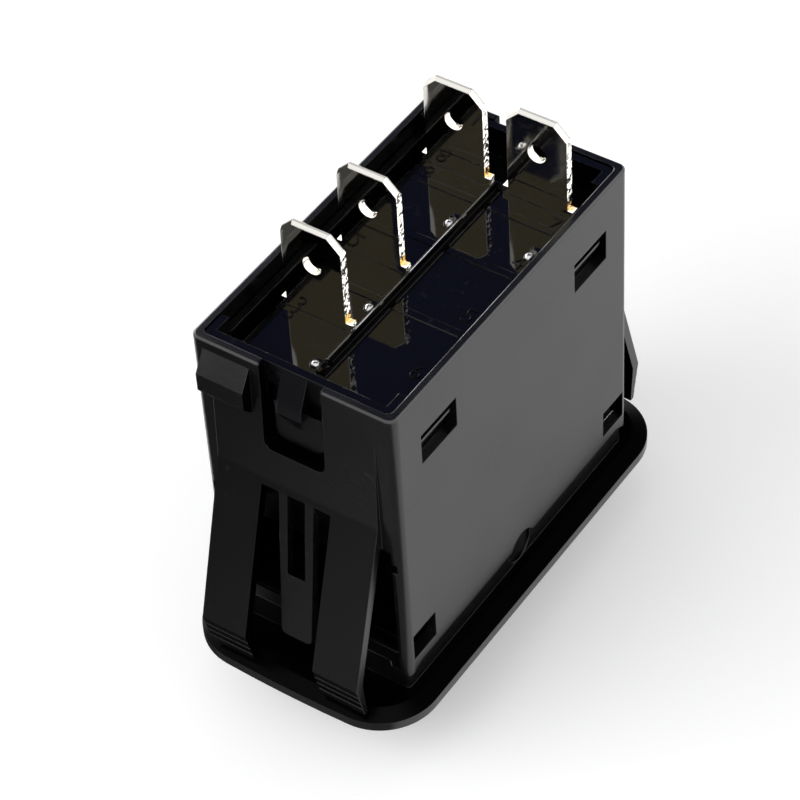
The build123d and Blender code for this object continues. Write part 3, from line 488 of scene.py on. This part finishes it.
def plated_metal(name, plating, brass):
    """Tin plating over brass: near mirror, rolled edges, smudges, bare brass low on cut edges, tips painted light
    and shade.
    """
    material, tree, shader = blank_material(name)
    place = tree.nodes.new("ShaderNodeTexCoord").outputs["Object"]
    edge = add_node(tree, "ShaderNodeGroup", node_tree=shared_groups()[0])
    edge.inputs["Radius"].default_value = 0.00006
    stretched = add_node(tree, "ShaderNodeMapping", {"Vector": place, "Scale": (9000.0, 9000.0, 350.0)})
    lines = add_node(tree, "ShaderNodeTexNoise", {"Vector": stretched.outputs[0], "Scale": 1.0, "Detail": 2.0})
    smudge = add_node(tree, "ShaderNodeTexNoise", {"Vector": place, "Scale": 330.0, "Detail": 4.0})
    geometry = tree.nodes.new("ShaderNodeNewGeometry")
    facing = add_node(tree, "ShaderNodeSeparateXYZ", {"Vector": geometry.outputs["Normal"]})
    side = add_node(tree, "ShaderNodeMath", {0: facing.outputs["Y"]}, operation="ABSOLUTE")
    cut = ramp_node(tree, side.outputs[0], 0.75, 0.95)
    height = add_node(tree, "ShaderNodeSeparateXYZ", {"Vector": place})
    above = ramp_node(tree, height.outputs["Z"], *BARE_BRASS_LOW)
    below = ramp_node(tree, height.outputs["Z"], *BARE_BRASS_HIGH)
    sheared = add_node(tree, "ShaderNodeTexNoise", {"Vector": place, "Scale": 2600.0, "Detail": 3.0})
    bare = both(tree, cut, both(tree, above, below))
    colour = mix_colour(tree, bare, rgba(plating), rgba(brass))
    rough = add_node(
        tree,
        "ShaderNodeMapRange",
        {"Value": smudge.outputs["Fac"], "From Min": 0.4, "From Max": 0.75, "To Min": 0.04, "To Max": 0.12},
    )
    rough_cut = add_node(tree, "ShaderNodeMath", {0: cut, 1: 0.1, 2: rough.outputs[0]}, operation="MULTIPLY_ADD")
    tear = both(tree, sheared.outputs["Fac"], cut)
    rolled, tilt, crest = rolled_edge(tree, height, facing, edge.outputs["Normal"], cut, sheared.outputs["Fac"])
    rough_cut = add_node(
        tree, "ShaderNodeMath", {0: tilt, 1: 0.8, 2: rough_cut.outputs[0]}, operation="MULTIPLY_ADD"
    )
    bump = add_node(
        tree, "ShaderNodeBump",
        {"Strength": 1.0, "Distance": 0.0000004, "Height": lines.outputs["Fac"], "Normal": rolled},
    )
    torn = add_node(
        tree, "ShaderNodeBump",
        {"Strength": 1.0, "Distance": 0.0002, "Height": tear, "Normal": bump.outputs["Normal"]},
    )
    shader.inputs["Metallic"].default_value = 1.0
    # The tips are painted light and shade: lighter slopes, a darker flat top, darker still along the edges
    flat_top = ramp_node(tree, facing.outputs["Z"], 0.9, 0.98)
    soft = mix_colour(tree, flat_top, TIP_SLOPE_PAINTED, TIP_TOP_PAINTED)
    painted_tip_tone = mix_colour(tree, edge.outputs["Mask"], soft, TIP_EDGE_PAINTED)
    tree.links.new(mix_colour(tree, crest, colour, painted_tip_tone), shader.inputs["Base Color"])
    tree.links.new(rough_cut.outputs[0], shader.inputs["Roughness"])
    tree.links.new(torn.outputs["Normal"], shader.inputs["Normal"])
    return material


def plain_metal(name, colour, roughness, stain):
    """Bare stamped metal with a light stain and rounded edges."""
    material, tree, shader = blank_material(name)
    place = tree.nodes.new("ShaderNodeTexCoord").outputs["Object"]
    edge = add_node(tree, "ShaderNodeGroup", node_tree=shared_groups()[0])
    edge.inputs["Radius"].default_value = 0.00006
    patches = add_node(tree, "ShaderNodeTexNoise", {"Vector": place, "Scale": 500.0, "Detail": 4.0})
    shade = ramp_node(tree, patches.outputs["Fac"], 0.4, 0.7)
    tree.links.new(mix_colour(tree, shade, rgba(colour), rgba(stain)), shader.inputs["Base Color"])
    rough = add_node(
        tree, "ShaderNodeMapRange",
        {"Value": patches.outputs["Fac"], "From Min": 0.3, "From Max": 0.8, "To Min": roughness,
         "To Max": roughness + 0.12},
    )
    tree.links.new(rough.outputs[0], shader.inputs["Roughness"])
    tree.links.new(edge.outputs["Normal"], shader.inputs["Normal"])
    shader.inputs["Metallic"].default_value = 1.0
    return material


class SWITCH_OT_metals(bpy.types.Operator):
    """Gives the blades, contacts, strip and spring their finish"""

    bl_idname = "switch.metals"
    bl_label = "Metals"

    def execute(self, context):
        finish = context.scene.switch_finish
        give(BLADES, plated_metal("Blade plating", finish.plating_colour, finish.brass_colour))
        give(
            ["contact_saddle", "lamp_strip"],
            plain_metal("Strip brass", finish.brass_colour, 0.22, (0.5, 0.3, 0.1)),
        )
        give(["moving_contact"], plain_metal("Seesaw copper", (0.85, 0.47, 0.3), 0.2, (0.5, 0.24, 0.13)))
        give(
            ["fixed_contact", "moving_contact_tip"],
            plain_metal("Contact silver", (0.88, 0.87, 0.84), 0.16, (0.6, 0.58, 0.52)),
        )
        give(["plunger_spring"], plain_metal("Spring steel", (0.6, 0.6, 0.6), 0.2, (0.42, 0.41, 0.4)))
        return {"FINISHED"}


def tinted_clear(name, colour, roughness, shade_height):
    """Clear tinted plastic with faint flow marks, and shade painted black above one height and on faces that look
    up.
    """
    material, tree, shader = blank_material(name)
    place = tree.nodes.new("ShaderNodeTexCoord").outputs["Object"]
    height = add_node(tree, "ShaderNodeSeparateXYZ", {"Vector": place})
    facing = add_node(
        tree, "ShaderNodeSeparateXYZ", {"Vector": tree.nodes.new("ShaderNodeNewGeometry").outputs["Normal"]}
    )
    # Painted shade, black above the given height and on faces that look up
    inner = both(
        tree, ramp_node(tree, height.outputs["Z"], shade_height - LENS_BLEND, shade_height),
        ramp_node(tree, facing.outputs["Z"], -0.5, -0.3), "MAXIMUM",
    )
    group = add_node(tree, "ShaderNodeGroup", node_tree=shared_groups()[1])
    for label, value in (("Edge Radius", 0.0001), ("Grain Depth", 0.0000008), ("Roughness", roughness),
                         ("Roughness Spread", 0.03), ("Dust", 0.1)):
        group.inputs[label].default_value = value
    dusty = mix_colour(tree, group.outputs["Dust"], rgba(colour), (0.5, 0.5, 0.48, 1.0))
    shaded = mix_colour(tree, inner, dusty, (0.003, 0.003, 0.003, 1.0))
    tree.links.new(shaded, shader.inputs["Base Color"])
    tree.links.new(group.outputs["Roughness"], shader.inputs["Roughness"])
    tree.links.new(group.outputs["Normal"], shader.inputs["Normal"])
    shader.inputs["Transmission Weight"].default_value = 0.35
    shader.inputs["IOR"].default_value = 1.49
    return material


class SWITCH_OT_lamps(bpy.types.Operator):
    """Gives the light windows, lamps and resistors their finish"""

    bl_idname = "switch.lamps"
    bl_label = "Lamps and windows"

    def execute(self, context):
        for side, name, colour in (("on", "Green", (0.03, 0.34, 0.10)), ("off", "Red", (0.48, 0.025, 0.018))):
            lens = "rocker_lens_" + side
            give([lens], tinted_clear(name + " lens", colour, 0.16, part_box(lens)[0].z + LENS_SKIN))
            give(
                ["lamp_" + side],
                tinted_clear(name + " lamp", colour, 0.16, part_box("lamp_" + side)[1].z + BEYOND),
            )
        give(
            ["resistor_on", "resistor_off"],
            moulded_plastic("Resistor lacquer", (0.5, 0.38, 0.22), 0.35, edge=0.00005, dust=0.1),
        )
        return {"FINISHED"}


def finish_piece(context, name, shape, material):
    """Makes one object of a mesh that belongs to the base."""
    mesh = bpy.data.meshes.new(name)
    shape.to_mesh(mesh)
    shape.free()
    mesh.shade_smooth()
    piece = bpy.data.objects.new(name, mesh)
    context.scene.collection.objects.link(piece)
    mesh.materials.append(material)
    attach(piece, "switch_body")


class SWITCH_OT_pips(bpy.types.Operator):
    """Builds the polished round tops of the four pips on the floor of the base"""

    bl_idname = "switch.pips"
    bl_label = "Pips"

    def execute(self, context):
        shape = bmesh.new()
        for x, y in PIPS:
            dome = Matrix.Translation((x * MM, y * MM, FLOOR_TOP - PIP_SINK))
            bmesh.ops.create_uvsphere(shape, u_segments=48, v_segments=24, radius=PIP_RADIUS, matrix=dome)
        material, _, shader = blank_material("Pip polish")
        shader.inputs["Base Color"].default_value = (0.01, 0.01, 0.011, 1.0)
        shader.inputs["Roughness"].default_value = 0.2
        shader.inputs["IOR"].default_value = 4.0
        finish_piece(context, "floor_pips", shape, material)
        return {"FINISHED"}


class SWITCH_OT_numerals(bpy.types.Operator):
    """Builds the eight terminal numerals moulded on the floor of the base"""

    bl_idname = "switch.numerals"
    bl_label = "Numerals"

    def execute(self, context):
        values = context.scene.switch_numerals
        shape = bmesh.new()
        for numeral, (x, y) in NUMERALS.items():
            self.add_numeral(context, shape, numeral, Vector((x * MM, y * MM, FLOOR_TOP)), values)
        finish = context.scene.switch_finish
        plastic = moulded_plastic(
            "Numeral plastic", finish.base_colour, finish.base_roughness, spread=0.01, grain=0.0000003,
            edge=0.00003, specular=0.08,
        )
        finish_piece(context, "floor_numerals", shape, plastic)
        return {"FINISHED"}

    def add_numeral(self, context, shape, numeral, place, values):
        """Adds one numeral to the mesh, with its top towards +X."""
        letter_height = 0.73
        scale = values.height / letter_height
        curve = bpy.data.curves.new("numeral", "FONT")
        curve.body = numeral
        curve.align_x, curve.align_y = "CENTER", "CENTER"
        curve.resolution_u = 6
        curve.offset = -values.thinning / scale
        curve.extrude = (values.relief - values.rounding) / scale
        curve.bevel_depth = values.rounding / scale
        curve.bevel_resolution = 2
        letter = bpy.data.objects.new("numeral", curve)
        context.scene.collection.objects.link(letter)
        context.view_layer.update()
        flat = bpy.data.meshes.new_from_object(letter.evaluated_get(context.evaluated_depsgraph_get()))
        bpy.data.objects.remove(letter)
        bpy.data.curves.remove(curve)
        flat.transform(Matrix.Translation(place) @ Matrix.Rotation(-pi / 2, 4, "Z") @ Matrix.Scale(scale, 4))
        shape.from_mesh(flat)
        bpy.data.meshes.remove(flat)


def camera_basis(azimuth, elevation, roll):
    """Right, up and back of the camera."""
    back = Vector((sin(azimuth) * cos(elevation), -cos(azimuth) * cos(elevation), sin(elevation)))
    right = Vector((cos(azimuth), sin(azimuth), 0.0))
    up = back.cross(right)
    return right * cos(roll) + up * sin(roll), up * cos(roll) - right * sin(roll), back


def aimed(location, target):
    """Matrix that places an object and points its -Z at the target."""
    turn = (target - location).to_track_quat("-Z", "Y").to_matrix().to_4x4()
    return Matrix.Translation(location) @ turn


def area_light(name, direction, distance, size, power, target):
    """A soft rectangular light."""
    data = bpy.data.lights.new(name, "AREA")
    data.shape = "RECTANGLE"
    data.size, data.size_y = size
    data.energy = power
    lamp = bpy.data.objects.new(name, data)
    lamp.matrix_world = aimed(target + Vector(direction).normalized() * distance, target)
    bpy.context.scene.collection.objects.link(lamp)
    return lamp


def flat_card(name, width, depth):
    """A flat rectangle in the XY plane as an object of its own."""
    mesh = bpy.data.meshes.new(name)
    shape = bmesh.new()
    stretch = Matrix.Diagonal((width, depth, 1, 1))
    bmesh.ops.create_grid(shape, x_segments=1, y_segments=1, size=0.5, matrix=stretch)
    shape.to_mesh(mesh)
    shape.free()
    card = bpy.data.objects.new(name, mesh)
    bpy.context.scene.collection.objects.link(card)
    return card


def aimed_card(name, size, direction, distance, target, glow):
    """A square card of one glow that faces the target."""
    card = flat_card(name, size, size)
    card.matrix_world = aimed(target + Vector(direction) * distance, target)
    card.data.materials.append(card_material(name.replace("_", " ").capitalize(), glow, glow))
    return card


def floor_material(colour):
    """Pale floor that is white to the camera where nothing shades it."""
    material, tree, shader = blank_material("Studio floor")
    place = tree.nodes.new("ShaderNodeTexCoord").outputs["Object"]
    mottle = add_node(tree, "ShaderNodeTexNoise", {"Vector": place, "Scale": 40.0, "Detail": 3.0})
    tone = add_node(
        tree, "ShaderNodeMapRange", {"Value": mottle.outputs["Fac"], "To Min": 0.985, "To Max": 1.0}
    )
    mottled = mix_colour(tree, tone.outputs[0], (0.8, 0.8, 0.8, 1.0), rgba(colour))
    tree.links.new(mottled, shader.inputs["Base Color"])
    shader.inputs["Roughness"].default_value = 0.9
    shader.inputs["Specular IOR Level"].default_value = 0.0
    path = tree.nodes.new("ShaderNodeLightPath")
    seen = both(tree, path.outputs["Is Camera Ray"], path.outputs["Is Glossy Ray"], "MAXIMUM")
    tree.links.new(both(tree, seen, 0.32), shader.inputs["Emission Strength"])
    shader.inputs["Emission Color"].default_value = (1.0, 1.0, 1.0, 1.0)
    return material


def card_material(name, first, second):
    """Glow of a studio card, from one tone near the object to another farther along +Y."""
    material, tree, shader = blank_material(name)
    shader.inputs["Base Color"].default_value = (0.0, 0.0, 0.0, 1.0)
    shader.inputs["Specular IOR Level"].default_value = 0.0
    place = add_node(tree, "ShaderNodeNewGeometry")
    across = add_node(tree, "ShaderNodeSeparateXYZ", {"Vector": place.outputs["Position"]})
    share = ramp_node(tree, across.outputs["Y"], *RAMP_SPAN)
    tree.links.new(mix_colour(tree, share, rgba(first), rgba(second)), shader.inputs["Emission Color"])
    shader.inputs["Emission Strength"].default_value = 1.0
    return material


class SWITCH_OT_stage(bpy.types.Operator):
    """Sets up the floor, lights, world and camera"""

    bl_idname = "switch.stage"
    bl_label = "Studio"

    def execute(self, context):
        stage = context.scene.switch_stage
        low, high = CAD_BOX
        centre = (low + high) / 2
        floor = flat_card("studio_floor", 4.0, 4.0)
        floor.location = (0, 0, low.z - FLOOR_GAP)
        floor.data.materials.append(floor_material(stage.floor_colour))
        flag = aimed_card("studio_flag", 0.95, (0.56, 0.3, 0.77), 0.6, centre, FLAG_GLOW)
        card = aimed_card("studio_card", 0.16, (-0.563, 0.419, 0.712), 0.7, centre, CARD_GLOW)
        ramp = flat_card("studio_ramp", 0.4, 0.4)
        rise = radians(20)
        foot = Vector((low.x - 0.001, 0.16, low.z))
        ramp.matrix_world = (
            Matrix.Translation(foot) @ Matrix.Rotation(rise, 4, "Y") @ Matrix.Translation((-0.2, 0, 0))
        )
        ramp.data.materials.append(card_material("Studio ramp", RAMP_GLOW, RAMP_SHADE))
        side = aimed_card("studio_side", 0.35, (0.35, 0.88, 0.28), 0.5, centre, SIDE_GLOW)
        mat = flat_card("studio_mat", 0.035, 0.04)
        mat.location = (-0.0095, 0.007, low.z - MAT_GAP)
        mat.data.materials.append(card_material("Studio mat", RAMP_SHADE, RAMP_SHADE))
        for unseen in (flag, card, ramp, side, mat):
            for blind in ("visible_camera", "visible_diffuse", "visible_shadow", "visible_transmission"):
                setattr(unseen, blind, False)
        key = area_light("Key", (-0.713, 0.419, 0.564), 0.6, (0.5, 0.5), stage.key_power, centre)
        key.visible_glossy = False
        area_light("Fill", (0.35, -0.9, 0.25), 0.8, (0.7, 0.5), stage.fill_power, centre)
        self.light_world(context)
        self.place_camera(context, stage)
        return {"FINISHED"}

    def light_world(self, context):
        world = bpy.data.worlds.new("Studio")
        context.scene.world = world
        world.use_nodes = True
        tree = world.node_tree
        tree.nodes.clear()
        path = tree.nodes.new("ShaderNodeLightPath")
        shiny = both(tree, path.outputs["Is Camera Ray"], path.outputs["Is Glossy Ray"], "MAXIMUM")
        seen = both(tree, shiny, path.outputs["Is Transmission Ray"], "MAXIMUM")
        tone = mix_colour(tree, seen, (0.55, 0.55, 0.56, 1.0), (1.0, 1.0, 1.0, 1.0))
        bright = add_node(
            tree, "ShaderNodeMapRange", {"Value": path.outputs["Is Glossy Ray"], "To Min": 1.0, "To Max": 2.2}
        )
        background = add_node(tree, "ShaderNodeBackground", {"Color": tone, "Strength": bright.outputs[0]})
        output = tree.nodes.new("ShaderNodeOutputWorld")
        tree.links.new(background.outputs[0], output.inputs["Surface"])

    def place_camera(self, context, stage):
        data = bpy.data.cameras.new("Camera")
        data.sensor_width = 36.0
        data.lens = stage.lens
        data.clip_start, data.clip_end = 0.01, 20.0
        camera = bpy.data.objects.new("Camera", data)
        right, up, back = camera_basis(stage.azimuth, stage.elevation, stage.roll)
        turn = Matrix((right, up, back)).transposed().to_4x4()
        camera.matrix_world = Matrix.Translation(Vector(stage.aim) + back * stage.distance) @ turn
        context.scene.collection.objects.link(camera)
        context.scene.camera = camera
        context.scene.view_settings.view_transform = "Standard"


class SWITCH_PT_panel(bpy.types.Panel):
    """Lists the steps and their values in the sidebar"""

    bl_label = "Dashboard switch"
    bl_idname = "SWITCH_PT_panel"
    bl_space_type = "VIEW_3D"
    bl_region_type = "UI"
    bl_category = "Switch"

    def draw(self, context):
        layout = self.layout
        for step in STEPS:
            layout.operator(step)
        for group in (context.scene.switch_finish, context.scene.switch_numerals, context.scene.switch_stage):
            for name in group.__annotations__:
                layout.prop(group, name)


CLASSES = (
    SwitchFinish,
    SwitchNumerals,
    SwitchStage,
    SWITCH_OT_mouldings,
    SWITCH_OT_metals,
    SWITCH_OT_lamps,
    SWITCH_OT_pips,
    SWITCH_OT_numerals,
    SWITCH_OT_stage,
    SWITCH_PT_panel,
)
STEPS = ("switch.mouldings", "switch.metals", "switch.lamps", "switch.pips", "switch.numerals", "switch.stage")


def register():
    for made in CLASSES:
        bpy.utils.register_class(made)
    bpy.types.Scene.switch_finish = PointerProperty(type=SwitchFinish)
    bpy.types.Scene.switch_numerals = PointerProperty(type=SwitchNumerals)
    bpy.types.Scene.switch_stage = PointerProperty(type=SwitchStage)


def unregister():
    del bpy.types.Scene.switch_stage
    del bpy.types.Scene.switch_numerals
    del bpy.types.Scene.switch_finish
    for made in reversed(CLASSES):
        bpy.utils.unregister_class(made)


def main():
    register()
    for step in STEPS:
        section, name = step.split(".")
        getattr(getattr(bpy.ops, section), name)()


if __name__ == "__main__":
    main()
